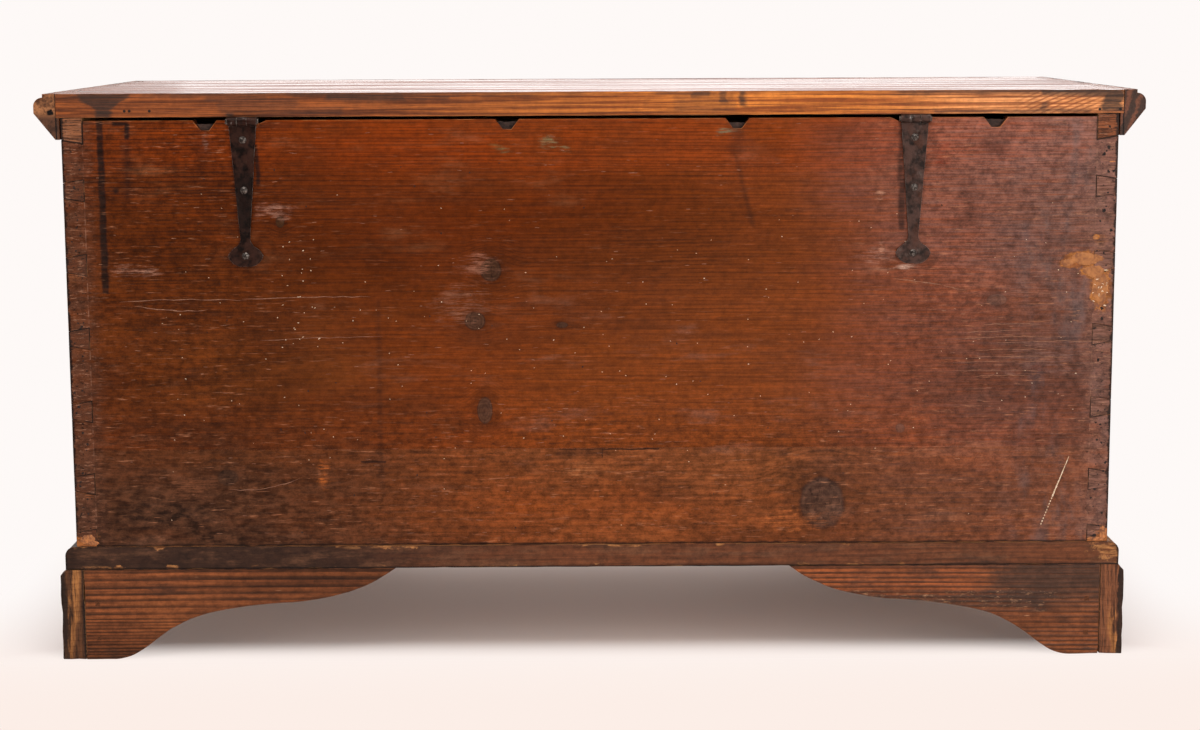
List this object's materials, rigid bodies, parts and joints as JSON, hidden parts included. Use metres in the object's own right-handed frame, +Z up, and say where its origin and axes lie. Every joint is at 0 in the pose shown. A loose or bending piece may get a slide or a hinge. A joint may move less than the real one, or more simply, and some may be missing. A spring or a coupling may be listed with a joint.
{
  "type": "blanket chest",
  "caption": "Dovetailed pine blanket chest on scalloped bracket feet, with a moulded lid on wrought strap hinges.",
  "frame": {"origin": "on the floor, under the middle of the whole chest's bounding box", "axes": "+Z up, front towards -Y, +X to the right as seen from the front, along the chest's length"},
  "size_m": [1.26, 0.5698, 0.6588],
  "materials": {
    "case_pine": "old reddish brown stain and varnish, worn",
    "base_pine": "old reddish brown stain and varnish, worn",
    "lid_pine": "orange brown varnish, worn",
    "raw_pine": "bare, aged",
    "wrought_iron": "hammered, dark brown patina",
    "screw_steel": "dull, worn",
    "nail_iron": "dull, rusty"
  },
  "bodies": {
    "case": {"back_board_upper": "case_pine", "back_board_lower": "case_pine", "front_board_upper": "case_pine", "front_board_lower": "case_pine", "right_side_upper": "case_pine", "right_side_lower": "case_pine", "left_side_upper": "case_pine", "left_side_lower": "case_pine", "bottom_board_rear": "base_pine", "bottom_board_front": "base_pine", "back_right_bracket": "base_pine", "back_left_bracket": "base_pine", "front_right_bracket": "base_pine", "front_left_bracket": "base_pine", "right_rear_bracket": "base_pine", "left_rear_bracket": "base_pine", "right_front_bracket": "base_pine", "left_front_bracket": "base_pine", "back_right_block": "raw_pine", "back_left_block": "raw_pine", "front_right_block": "raw_pine", "front_left_block": "raw_pine", "right_hinge_strap": "wrought_iron", "left_hinge_strap": "wrought_iron", "right_hinge_pin": "wrought_iron", "left_hinge_pin": "wrought_iron", "strap_screws": "screw_steel", "bottom_nails": "nail_iron", "bracket_nails": "nail_iron"},
    "lid": {"lid_board_rear": "lid_pine", "lid_board_front": "lid_pine", "lid_moulding_front": "lid_pine", "lid_moulding_right": "lid_pine", "lid_moulding_left": "lid_pine", "right_hinge_leaf": "wrought_iron", "left_hinge_leaf": "wrought_iron", "leaf_screws": "screw_steel", "moulding_nails": "nail_iron"}
  },
  "joints": [
    {"name": "lid_hinge", "type": "hinge", "parent": "case", "child": "lid", "pos_m": [0, 0.28015, 0.62705], "axis": [-1, 0, 0], "range_deg": [0, 105]}
  ]
}
